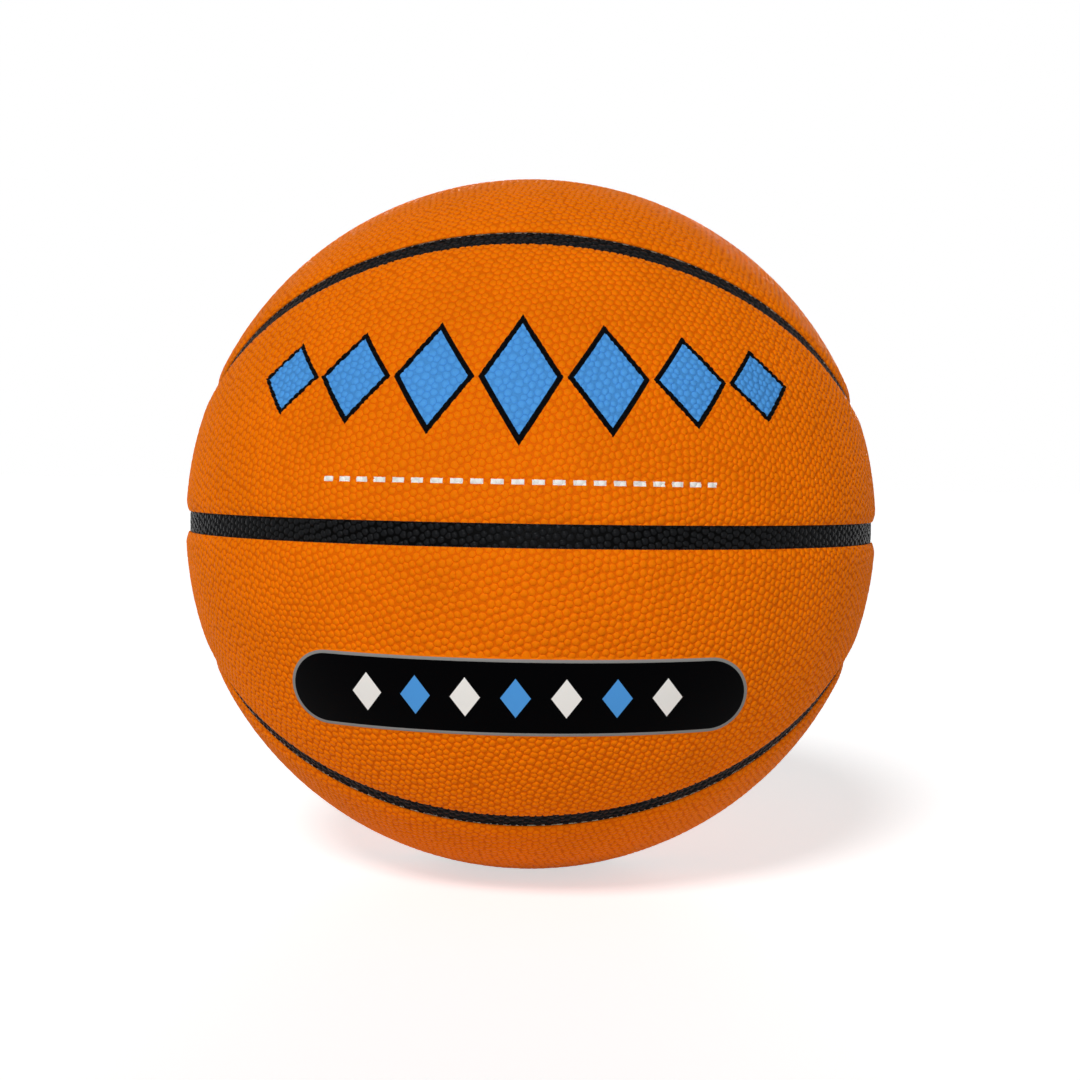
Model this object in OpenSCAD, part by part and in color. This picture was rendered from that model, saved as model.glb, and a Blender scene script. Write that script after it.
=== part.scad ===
// Basketball, built in layers round an air bladder under eight cover panels and recessed strips.
// The origin is the centre of the ball, +Z is up, and the side with the badge faces -Y.
// Seams: the equator lies in the XY plane, the meridian in the XZ plane, and one oval goes
// round each pole. An oval is four tangent arcs, two flat sides and two rounded ends, so the
// channel along it keeps one width.

/* [Ball] */
// Diameter over the cover panels
ball_d = 242; // [230:0.5:250]

/* [Seam pattern] */
// Angle from the pole to the long ends of an oval, in degrees
oval_long = 70.5; // [68:0.1:73]
// Angle from the pole to the flat sides of an oval, in degrees
oval_short = 40.4; // [38:0.1:44]
// Angular radius of the rounded ends of an oval, in degrees
oval_end = 24.2; // [21:0.1:27]

/* [Channels] */
// Width of the channel between two panels
channel_w = 7.2; // [6:0.1:9]
// Width of the shoulder where a panel falls away to the channel
shoulder_w = 4.2; // [2.5:0.1:5]
// Fall of the shoulder at the panel's edge
shoulder_drop = 1; // [0.5:0.1:1.2]
// Gap between a strip and the panel or strip beside it
edge_gap = 0.15; // [0.1:0.05:0.3]

/* [Cover] */
// Thickness of a composite leather panel
panel_t = 1.6; // [1.4:0.1:2.2]
// Thickness of a sponge pad
pad_t = 1.6; // [1.2:0.1:2.4]
// How far a pad stops short of its panel's edge
pad_inset = 0.4; // [0.2:0.1:1]
// Thickness of a channel strip
strip_t = 1.2; // [0.8:0.1:1.6]
// Thickness of the cement between two layers
cement_t = 0.1; // [0.06:0.02:0.2]

/* [Core] */
// Thickness of the rubber carcass under the pads
carcass_t = 1; // [0.8:0.1:1.6]
// Height of the carcass ribs that carry the strips
rib_h = 0.6; // [0.4:0.1:1]
// Thickness of the thread winding
winding_t = 0.8; // [0.6:0.1:1.4]
// Thickness of the bladder's wall
bladder_t = 0.8; // [0.6:0.1:1.4]

/* [Valve] */
// Angle of the valve above the equator, at the back of the ball
valve_lat = 14; // [11:1:24]
// Diameter of the boot's collar, which passes through every layer
collar_d = 9; // [7.6:0.1:11]
// Room round the collar in each layer
collar_gap = 0.15; // [0.1:0.05:0.4]
// How far the end of the collar lies below the panel's face
collar_sink = 0.4; // [0.2:0.1:1]
// Diameter of the boot's flange inside the bladder
flange_d = 26; // [20:0.5:32]
// Thickness of the flange
flange_t = 1; // [0.8:0.1:1.6]
// Diameter of the boot's stem inside the bladder
stem_d = 11; // [9:0.1:13]
// Length of the stem below the flange
stem_l = 14; // [11:0.5:20]
// Thickness of the stem's closed end
stem_end_t = 2; // [1.5:0.1:3]
// Diameter of the hole that lets the needle through the stem's end
exit_d = 2.6; // [2.5:0.1:3.2]
// Diameter of the plug
plug_d = 6; // [5:0.1:6.6]
// Radial clearance of the plug in the boot
plug_fit = 0.04; // [0.02:0.01:0.08]
// Gap under the plug's inner end
plug_seat = 0.05; // [0.02:0.01:0.1]
// How far the plug's outer end lies below the end of the collar
plug_sink = 0.3; // [0.1:0.1:0.8]
// Diameter of the needle bore
needle_d = 2.1; // [1.9:0.05:2.4]
// Mouth diameter of the funnel that leads the needle in
funnel_d = 3.6; // [3:0.1:4.4]
// Depth of the funnel
funnel_l = 1.5; // [1:0.1:3]

/* [Badge] */
// Distance of the badge's middle below the equator, at the front of the ball
badge_drop = 48; // [36:0.5:54]
// Width of the badge, with its round ends
badge_w = 140; // [100:1:150]
// Height of the badge
badge_h = 24; // [16:0.5:30]
// Thickness of the badge's film
badge_t = 0.2; // [0.15:0.05:0.4]

/* [Hidden] */
$fn = 144;

// Radii of the layers, from the face of the ball inwards
face_r = ball_d / 2;
panel_in_r = face_r - panel_t;
pad_out_r = panel_in_r - cement_t;
pad_in_r = pad_out_r - pad_t;
carcass_out_r = pad_in_r - cement_t;
carcass_in_r = carcass_out_r - carcass_t;
winding_out_r = carcass_in_r - cement_t;
winding_in_r = winding_out_r - winding_t;
bladder_out_r = winding_in_r - cement_t;
bladder_in_r = bladder_out_r - bladder_t;
flange_out_r = bladder_in_r - cement_t;
flange_in_r = flange_out_r - flange_t;

// Radii and width of the strips on their ribs
rib_r = carcass_out_r + rib_h;
strip_in_r = rib_r + cement_t;
strip_out_r = strip_in_r + strip_t;
strip_w = channel_w - 2 * edge_gap;
strip_end = strip_w / 2 + edge_gap;

// Arcs of an oval: how far the arc centres lean from the pole, and the angles they cover
end_tilt = oval_long - oval_end;
lean = oval_short - oval_end;
side_tilt = atan2(cos(lean) - cos(end_tilt), sin(lean));
side_arc = oval_short + side_tilt;
end_turn = 2 * atan2(tan(side_tilt), sin(end_tilt));
// How far to the side of the pole a rounded end has its centre
end_x = face_r * sin(end_tilt);

// Heights along the valve's axis, from the centre of the ball
collar_top = face_r - collar_sink;
plug_top = collar_top - plug_sink;
stem_bottom = flange_in_r - stem_l;
stem_floor = stem_bottom + stem_end_t;
plug_bottom = stem_floor + plug_seat;
bore_d = plug_d + 2 * plug_fit;

// Size of the cutting bodies, and the overlap that lets a cut run past a face
reach = 2 * face_r;
past = 1;

panel_colour = "#F07F0C";
strip_colour = "#19191B";
pad_colour = "#D9CDB8";
carcass_colour = "#33302E";
winding_colour = "#E4DFD2";
bladder_colour = "#141416";
boot_colour = "#242427";
plug_colour = "#3C3C40";
badge_colour = "#0E0F12";

function arc_angle(length) = length / face_r * 180 / PI;
function polar(r, angle) = r * [sin(angle), cos(angle)];

// Section across the shoulders of a channel that runs at the given angle from its axis
function shoulder_section(arc) =
  let (
    edge = arc_angle(channel_w / 2),
    rim = arc_angle(channel_w / 2 + shoulder_w),
    low = [for (side = [-1, 1]) polar(face_r - shoulder_drop, arc + side * edge)],
    high = [for (side = [-1, 1]) polar(face_r, arc + side * rim)],
    slope = (high - low) / 2
  )
  [low[0] - slope[0], high[0] + slope[0], polar(1.1 * face_r, arc), high[1] + slope[1], low[1] - slope[1]];

module shell(r_in, r_out) {
  difference() {
    sphere(r_out);
    sphere(r_in);
  }
}

// Everything within an angle of the Z axis
module cone_about_z(angle) {
  rotate_extrude()
    polygon([[0, 0], polar(reach, angle), [reach, reach], [0, reach]]);
}

// Everything on the far side of the two lines where a rounded end meets the flat sides
module end_sector() {
  rotate([0, end_tilt, 0])
    rotate([0, 0, -end_turn / 2])
      rotate_extrude(angle = end_turn)
        translate([0, -reach]) square(2 * reach);
}

// A body along the front half of the top oval: the first child keeps to the flat side, and the
// second to the rounded end on the right, which is repeated on the left
module along_oval() {
  difference() {
    children(0);
    end_sector();
    mirror([1, 0, 0]) end_sector();
  }
  for (left = [0, 1])
    mirror([left, 0, 0])
      intersection() {
        children(1);
        end_sector();
      }
}

// Inside of the flat side in front, grown by a length on the face of the ball
module side_region(grow) {
  rotate([-side_tilt, 0, 0]) cone_about_z(side_arc + arc_angle(grow));
}

// Inside of the rounded end on the right, grown by a length on the face of the ball
module end_region(grow) {
  rotate([0, end_tilt, 0]) cone_about_z(oval_end + arc_angle(grow));
}

// Quarter of a shell, in front above the equator, clear of both seam lines
module quarter_shell(r_in, r_out, clear) {
  intersection() {
    shell(r_in, r_out);
    translate([-reach, -reach - clear, clear]) cube([2 * reach, reach, reach]);
  }
}

// Shell in front from the equator to the top oval, clear of the seam lines
module band_shell(r_in, r_out, clear) {
  along_oval() {
    difference() {
      quarter_shell(r_in, r_out, clear);
      side_region(clear);
    }
    difference() {
      quarter_shell(r_in, r_out, clear);
      end_region(clear);
    }
  }
}

// Shell in the front half of the top oval, clear of the seam lines
module half_oval_shell(r_in, r_out, clear) {
  along_oval() {
    intersection() {
      quarter_shell(r_in, r_out, clear);
      side_region(-clear);
    }
    intersection() {
      quarter_shell(r_in, r_out, clear);
      end_region(-clear);
    }
  }
}

// Shoulders of the channel at an angle from the Z axis
module ring_shoulders(arc) {
  rotate_extrude()
    polygon(shoulder_section(arc));
}

// The panel given, with its edges rolled down to the channels round it
module roll_edges() {
  difference() {
    along_oval() {
      difference() {
        children();
        rotate([-side_tilt, 0, 0]) ring_shoulders(side_arc);
      }
      difference() {
        children();
        rotate([0, end_tilt, 0]) ring_shoulders(oval_end);
      }
    }
    ring_shoulders(90);
    rotate([90, 0, 0]) ring_shoulders(90);
  }
}

// The same piece at the back of the ball, in its lower half or both
module place(back = false, low = false) {
  mirror([0, back ? 1 : 0, 0])
    mirror([0, 0, low ? 1 : 0])
      children();
}

// The valve's own axis points out along Z here
module at_valve() {
  rotate([valve_lat - 90, 0, 0]) children();
}

module valve_hole() {
  at_valve() cylinder(h = reach, d = collar_d + 2 * collar_gap);
}

module band_panel() {
  roll_edges() band_shell(panel_in_r, face_r, channel_w / 2);
}

module half_oval_panel() {
  roll_edges() half_oval_shell(panel_in_r, face_r, channel_w / 2);
}

module band_pad() {
  clear = channel_w / 2 + pad_inset;
  difference() {
    quarter_shell(pad_in_r, pad_out_r, clear);
    difference() {
      side_region(clear);
      end_sector();
      mirror([1, 0, 0]) end_sector();
    }
    end_region(clear);
    mirror([1, 0, 0]) end_region(clear);
  }
}

module half_oval_pad() {
  half_oval_shell(pad_in_r, pad_out_r, channel_w / 2 + pad_inset);
}

// Strip across the top oval, along the meridian
module meridian_cap_strip() {
  difference() {
    intersection() {
      shell(strip_in_r, strip_out_r);
      translate([-reach, -strip_w / 2, 0]) cube([2 * reach, strip_w, reach]);
    }
    for (left = [0, 1])
      mirror([left, 0, 0])
        difference() {
          translate([end_x, -reach, -reach]) cube(2 * reach);
          end_region(-strip_end);
        }
  }
}

// Strip from the equator up to the right end of the top oval
module meridian_side_strip() {
  difference() {
    intersection() {
      shell(strip_in_r, strip_out_r);
      translate([end_x, -strip_w / 2, strip_end]) cube([reach, strip_w, reach]);
    }
    end_region(strip_end);
  }
}

// Shell of a strip along the circle at an angle from the Z axis
module ring_strip(arc) {
  half = arc_angle(strip_w / 2);
  difference() {
    intersection() {
      shell(strip_in_r, strip_out_r);
      cone_about_z(arc + half);
    }
    cone_about_z(arc - half);
  }
}

// Front half of the strip round the top oval: a flat side between two rounded ends
module half_oval_strip() {
  intersection() {
    translate([-reach, -reach, 0]) cube([2 * reach, reach, reach]);
    along_oval() {
      rotate([-side_tilt, 0, 0]) ring_strip(side_arc);
      rotate([0, end_tilt, 0]) ring_strip(oval_end);
    }
  }
}

module oval_strip() {
  half_oval_strip();
  mirror([0, 1, 0]) half_oval_strip();
}

module bladder() {
  color(bladder_colour)
    difference() {
      shell(bladder_in_r, bladder_out_r);
      valve_hole();
    }
}

module winding() {
  color(winding_colour)
    difference() {
      shell(winding_in_r, winding_out_r);
      valve_hole();
    }
}

// Shell with a shallow bed for each pad, which leaves the ribs standing
module carcass() {
  color(carcass_colour)
    difference() {
      shell(carcass_in_r, rib_r);
      for (back = [false, true], low = [false, true])
        place(back, low) {
          band_shell(carcass_out_r, rib_r + past, strip_w / 2);
          half_oval_shell(carcass_out_r, rib_r + past, strip_w / 2);
        }
      valve_hole();
    }
}

// Boot with a flange inside the bladder, a collar out to the face and a stem inwards
module valve_housing() {
  color(boot_colour)
    at_valve()
      difference() {
        union() {
          intersection() {
            shell(flange_in_r, flange_out_r);
            cylinder(h = reach, d = flange_d);
          }
          translate([0, 0, stem_bottom]) cylinder(h = stem_l + flange_t / 2, d = stem_d);
          translate([0, 0, flange_in_r]) cylinder(h = collar_top - flange_in_r, d = collar_d);
        }
        translate([0, 0, stem_floor]) cylinder(h = reach, d = bore_d);
        translate([0, 0, stem_bottom - past]) cylinder(h = reach, d = exit_d);
      }
}

module valve_plug() {
  color(plug_colour)
    at_valve()
      difference() {
        translate([0, 0, plug_bottom]) cylinder(h = plug_top - plug_bottom, d = plug_d);
        translate([0, 0, plug_bottom - past]) cylinder(h = reach, d = needle_d);
        translate([0, 0, plug_top - funnel_l]) cylinder(h = funnel_l, d1 = needle_d, d2 = funnel_d);
      }
}

module pad_front_upper() {
  color(pad_colour) place() band_pad();
}

module pad_front_lower() {
  color(pad_colour) place(low = true) band_pad();
}

module pad_back_upper() {
  color(pad_colour)
    difference() {
      place(back = true) band_pad();
      valve_hole();
    }
}

module pad_back_lower() {
  color(pad_colour) place(back = true, low = true) band_pad();
}

module pad_top_front() {
  color(pad_colour) place() half_oval_pad();
}

module pad_top_back() {
  color(pad_colour) place(back = true) half_oval_pad();
}

module pad_bottom_front() {
  color(pad_colour) place(low = true) half_oval_pad();
}

module pad_bottom_back() {
  color(pad_colour) place(back = true, low = true) half_oval_pad();
}

module panel_front_upper() {
  color(panel_colour) place() band_panel();
}

module panel_front_lower() {
  color(panel_colour) place(low = true) band_panel();
}

module panel_back_upper() {
  color(panel_colour)
    difference() {
      place(back = true) band_panel();
      valve_hole();
    }
}

module panel_back_lower() {
  color(panel_colour) place(back = true, low = true) band_panel();
}

module panel_top_front() {
  color(panel_colour) place() half_oval_panel();
}

module panel_top_back() {
  color(panel_colour) place(back = true) half_oval_panel();
}

module panel_bottom_front() {
  color(panel_colour) place(low = true) half_oval_panel();
}

module panel_bottom_back() {
  color(panel_colour) place(back = true, low = true) half_oval_panel();
}

module equator_strip() {
  color(strip_colour)
    intersection() {
      shell(strip_in_r, strip_out_r);
      cube([2 * reach, 2 * reach, strip_w], center = true);
    }
}

module oval_strip_top() {
  color(strip_colour) place() oval_strip();
}

module oval_strip_bottom() {
  color(strip_colour) place(low = true) oval_strip();
}

module meridian_strip_top() {
  color(strip_colour) place() meridian_cap_strip();
}

module meridian_strip_bottom() {
  color(strip_colour) place(low = true) meridian_cap_strip();
}

module meridian_strip_right_upper() {
  color(strip_colour) place() meridian_side_strip();
}

module meridian_strip_right_lower() {
  color(strip_colour) place(low = true) meridian_side_strip();
}

module meridian_strip_left_upper() {
  color(strip_colour) mirror([1, 0, 0]) meridian_side_strip();
}

module meridian_strip_left_lower() {
  color(strip_colour) mirror([1, 0, 0]) place(low = true) meridian_side_strip();
}

// Film with round ends, bonded to the face of the lower front panel
module front_badge() {
  film_r = face_r + cement_t;
  color(badge_colour)
    intersection() {
      shell(film_r, film_r + badge_t);
      translate([0, 0, -badge_drop])
        rotate([90, 0, 0])
          linear_extrude(reach) {
            square([badge_w - badge_h, badge_h], center = true);
            for (side = [-1, 1])
              translate([side * (badge_w - badge_h) / 2, 0]) circle(d = badge_h);
          }
    }
}

bladder();
winding();
carcass();
valve_housing();
valve_plug();
pad_front_upper();
pad_front_lower();
pad_back_upper();
pad_back_lower();
pad_top_front();
pad_top_back();
pad_bottom_front();
pad_bottom_back();
panel_front_upper();
panel_front_lower();
panel_back_upper();
panel_back_lower();
panel_top_front();
panel_top_back();
panel_bottom_front();
panel_bottom_back();
equator_strip();
oval_strip_top();
oval_strip_bottom();
meridian_strip_top();
meridian_strip_bottom();
meridian_strip_right_upper();
meridian_strip_right_lower();
meridian_strip_left_upper();
meridian_strip_left_lower();
front_badge();
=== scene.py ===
"""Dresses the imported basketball: pebbled cover panels, pebbled channel strips and a printed badge."""

import math

import bpy
import numpy as np
from bpy.props import FloatProperty, FloatVectorProperty, IntProperty, PointerProperty
from mathutils import Matrix, Vector
from mathutils.geometry import delaunay_2d_cdt


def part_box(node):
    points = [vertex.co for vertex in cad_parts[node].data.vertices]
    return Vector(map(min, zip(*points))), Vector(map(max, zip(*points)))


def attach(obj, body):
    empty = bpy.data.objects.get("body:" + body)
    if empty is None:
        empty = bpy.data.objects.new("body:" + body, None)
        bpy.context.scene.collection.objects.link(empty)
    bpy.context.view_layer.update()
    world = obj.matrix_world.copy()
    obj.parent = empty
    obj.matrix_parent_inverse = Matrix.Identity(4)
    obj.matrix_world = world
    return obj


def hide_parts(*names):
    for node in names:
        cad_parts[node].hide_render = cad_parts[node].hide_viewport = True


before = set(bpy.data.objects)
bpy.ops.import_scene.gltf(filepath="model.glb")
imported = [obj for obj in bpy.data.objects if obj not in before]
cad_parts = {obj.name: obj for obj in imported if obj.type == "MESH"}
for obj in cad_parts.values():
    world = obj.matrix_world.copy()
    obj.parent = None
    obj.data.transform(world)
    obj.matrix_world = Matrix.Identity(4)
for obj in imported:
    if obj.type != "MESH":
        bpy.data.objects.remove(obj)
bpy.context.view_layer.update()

bl_info = {
    "name": "Pebbled basketball",
    "version": (1, 0, 0),
    "blender": (4, 5, 0),
    "location": "View3D > Sidebar > Ball",
    "description": "Builds the cover, strips, badge and stage of a basketball round its packed core",
    "category": "Object",
}

MM = 0.001
BODY = "ball"
STRIP_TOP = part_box("equator_strip")[1].x
CHANNEL_DEPTH = 1.5 * MM
FACE_RADIUS = STRIP_TOP + CHANNEL_DEPTH
# Between neighbouring corners of an icosahedron, seen from its middle
CORNER_ANGLE = math.acos(1 / math.sqrt(5))
# Nearly all values of a noise texture lie between these two
NOISE_SPAN = (0.3, 0.7)

# Pieces by the node that each stands for: kind of panel, at the back, in the lower half
PANELS = {
    "panel_front_upper": ("band", False, False),
    "panel_front_lower": ("band", False, True),
    "panel_back_upper": ("band", True, False),
    "panel_back_lower": ("band", True, True),
    "panel_top_front": ("dome", False, False),
    "panel_top_back": ("dome", True, False),
    "panel_bottom_front": ("dome", False, True),
    "panel_bottom_back": ("dome", True, True),
}
# Kind of strip, in the lower half, on the left
STRIPS = {
    "equator_strip": ("equator", False, False),
    "oval_strip_top": ("oval", False, False),
    "oval_strip_bottom": ("oval", True, False),
    "meridian_strip_top": ("cap", False, False),
    "meridian_strip_bottom": ("cap", True, False),
    "meridian_strip_right_upper": ("side", False, False),
    "meridian_strip_right_lower": ("side", True, False),
    "meridian_strip_left_upper": ("side", False, True),
    "meridian_strip_left_lower": ("side", True, True),
}
PRINTED_PANEL = "panel_front_upper"
BADGE_PANEL = "panel_front_lower"
VALVE_PANEL = "panel_back_upper"


def linear(code):
    """Linear red, green and blue of an sRGB hex colour.
    Below 0.04045 the curve is a straight line, and above it a power of 2.4."""
    srgb = [int(code[i : i + 2], 16) / 255 for i in (1, 3, 5)]
    return tuple(c / 12.92 if c <= 0.04045 else ((c + 0.055) / 1.055) ** 2.4 for c in srgb)


class BallShape(bpy.types.PropertyGroup):
    """Sizes of the cover, which follow the solids of the frame."""

    face_radius: FloatProperty(
        name="Face radius", description="Radius over the tops of the pebbles",
        default=FACE_RADIUS, unit="LENGTH", precision=5)
    oval_long: FloatProperty(
        name="Oval long", description="Angle from the pole to the long ends of an oval",
        default=math.radians(70.5), subtype="ANGLE")
    oval_short: FloatProperty(
        name="Oval short", description="Angle from the pole to the flat sides of an oval",
        default=math.radians(40.4), subtype="ANGLE")
    oval_end: FloatProperty(
        name="Oval end", description="Angular radius of the rounded ends of an oval",
        default=math.radians(24.2), subtype="ANGLE")
    channel_width: FloatProperty(
        name="Channel width", description="Width of the channel between two panels",
        default=7.2 * MM, unit="LENGTH", precision=5)
    strip_gap: FloatProperty(
        name="Strip gap", description="Gap between a strip and the panel or strip beside it",
        default=0.15 * MM, unit="LENGTH", precision=5)
    shoulder_width: FloatProperty(
        name="Shoulder width", description="Width of the shoulder where a panel falls away",
        default=4.2 * MM, unit="LENGTH", precision=5)
    shoulder_drop: FloatProperty(
        name="Shoulder drop", description="Fall of the shoulder at the panel's edge",
        default=1.0 * MM, unit="LENGTH", precision=5)
    panel_thickness: FloatProperty(
        name="Panel thickness", description="Thickness of a composite leather panel",
        default=1.6 * MM, unit="LENGTH", precision=5)
    strip_thickness: FloatProperty(
        name="Strip thickness", description="Thickness of a channel strip",
        default=1.2 * MM, unit="LENGTH", precision=5)
    pebble_rows: IntProperty(
        name="Pebble rows", description="Pebbles along one edge of the icosahedron under the grain",
        default=59)
    pebble_height: FloatProperty(
        name="Pebble height", description="Height of a pebble above the grooves round it",
        default=0.42 * MM, unit="LENGTH", precision=5)
    pebble_stray: FloatProperty(
        name="Pebble stray", description="How far a pebble strays from its place, as a share of the pitch",
        default=0.12, subtype="FACTOR")
    valve_tilt: FloatProperty(
        name="Valve tilt", description="Angle of the valve above the equator, at the back",
        default=math.radians(14), subtype="ANGLE")
    valve_hole: FloatProperty(
        name="Valve hole", description="Diameter of the hole for the valve",
        default=9.3 * MM, unit="LENGTH", precision=5)
    badge_width: FloatProperty(
        name="Badge width", description="Width of the badge, with its round ends",
        default=140 * MM, unit="LENGTH", precision=4)
    badge_height: FloatProperty(
        name="Badge height", description="Height of the badge",
        default=24 * MM, unit="LENGTH", precision=4)
    badge_drop: FloatProperty(
        name="Badge drop", description="Distance of the badge's middle below the equator",
        default=48 * MM, unit="LENGTH", precision=4)


class BallColours(bpy.types.PropertyGroup):
    """Colours of the cover and of its print."""

    cover: FloatVectorProperty(
        name="Cover", description="Composite leather of the panels",
        default=linear("#F17904"), subtype="COLOR", min=0, max=1)
    strip: FloatVectorProperty(
        name="Strip", description="Composite leather of the channel strips",
        default=linear("#17181A"), subtype="COLOR", min=0, max=1)
    ink: FloatVectorProperty(
        name="Ink", description="Fill of the printed lozenges",
        default=linear("#519DE4"), subtype="COLOR", min=0, max=1)
    outline: FloatVectorProperty(
        name="Outline", description="Line round the printed lozenges",
        default=linear("#08080A"), subtype="COLOR", min=0, max=1)
    dash: FloatVectorProperty(
        name="Dash", description="Dashed line under the lozenges",
        default=linear("#F4F3EE"), subtype="COLOR", min=0, max=1)
    badge: FloatVectorProperty(
        name="Badge", description="Ground of the badge",
        default=linear("#020203"), subtype="COLOR", min=0, max=1)
    badge_edge: FloatVectorProperty(
        name="Badge edge", description="Line round the badge",
        default=linear("#8C8C8A"), subtype="COLOR", min=0, max=1)


class BallStage(bpy.types.PropertyGroup):
    """Camera, lamps and floor."""

    pitch: FloatProperty(
        name="Pitch", description="How far the ball leans towards the camera",
        default=math.radians(1.6), subtype="ANGLE")
    yaw: FloatProperty(
        name="Yaw", description="How far the ball is turned about its own axis",
        default=math.radians(-1.91), subtype="ANGLE")
    roll: FloatProperty(
        name="Roll", description="How far the ball leans sideways",
        default=math.radians(0.97), subtype="ANGLE")
    distance: FloatProperty(
        name="Distance", description="Distance of the camera from the ball's centre, in radii of the ball",
        default=5.0)
    aim_right: FloatProperty(
        name="Aim right", description="Angle of the optical axis to the right of the ball's centre",
        default=math.radians(0.303), subtype="ANGLE")
    aim_up: FloatProperty(
        name="Aim up", description="Angle of the optical axis above the ball's centre",
        default=math.radians(-0.522), subtype="ANGLE")
    half_frame: FloatProperty(
        name="Half frame", description="Tangent of half the angle that the picture takes in",
        default=0.3196, precision=4)
    key: FloatProperty(
        name="Key", description="Strength of the soft lamp high in front, a little to the left", default=1.67)
    left: FloatProperty(
        name="Left", description="Strength of the small lamp low in front, on the left", default=0.44)
    right: FloatProperty(
        name="Right", description="Strength of the small lamp low in front, on the right", default=0.74)
    back: FloatProperty(
        name="Back", description="Strength of each of the two lamps behind the ball", default=0.95)
    surround: FloatProperty(
        name="Surround", description="Light from the white studio all round", default=0.06)


def unit(vectors):
    """Vectors divided by their lengths."""
    return vectors / np.linalg.norm(vectors, axis=-1, keepdims=True)


def pair_keys(a, b, count):
    """One number for each pair of vertices, in either order: the lower times their count, plus the higher."""
    return np.minimum(a, b) * count + np.maximum(a, b)


def even_lattice(rows):
    """Near-even points on the unit sphere, with the triangles that join them.
    Each face of an icosahedron is a triangular grid. A point is the sum of the face's corners, each times the
    sine of its barycentric weight times the angle of an edge, brought out to the sphere."""
    merged_digits = 5
    golden = (1 + math.sqrt(5)) / 2
    corners = np.array([(0, s, t * golden) for s in (-1, 1) for t in (-1, 1)], float)
    corners = unit(np.concatenate([corners, corners[:, [2, 0, 1]], corners[:, [1, 2, 0]]]))
    near = np.isclose(corners @ corners.T, math.cos(CORNER_ANGLE))
    i, j, k = np.nonzero(near[:, :, None] & near[:, None, :] & near[None, :, :])
    faces = np.stack([i, j, k], 1)[(i < j) & (j < k)]
    first, second, third = corners[faces].transpose(1, 0, 2)
    inward = (np.cross(second - first, third - first) * first).sum(1) < 0
    faces[inward] = faces[inward][:, [0, 2, 1]]

    a, b = np.meshgrid(np.arange(rows + 1), np.arange(rows + 1), indexing="ij")
    number = np.full((rows + 1, rows + 1), -1)
    used = a + b <= rows
    number[used] = np.arange(used.sum())
    a, b = a[used], b[used]
    up = a + b < rows
    down = a + b < rows - 1
    (up_a, up_b), (down_a, down_b) = (a[up], b[up]), (a[down], b[down])
    grid = np.concatenate([
        np.stack([number[up_a, up_b], number[up_a + 1, up_b], number[up_a, up_b + 1]], 1),
        np.stack([number[down_a + 1, down_b], number[down_a + 1, down_b + 1], number[down_a, down_b + 1]], 1),
    ])
    weights = np.sin(np.stack([rows - a - b, a, b], 1) / rows * CORNER_ANGLE)
    points = unit(np.einsum("pk,fkc->fpc", weights, corners[faces])).reshape(-1, 3)
    triangles = (grid[None] + np.arange(len(faces))[:, None, None] * len(a)).reshape(-1, 3)
    # Adding zero makes a negative zero positive, so that shared points of two faces are equal
    places = np.round(points, merged_digits) + 0.0
    _, kept, merged = np.unique(places, axis=0, return_index=True, return_inverse=True)
    return points[kept], merged.reshape(-1)[triangles]


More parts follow.
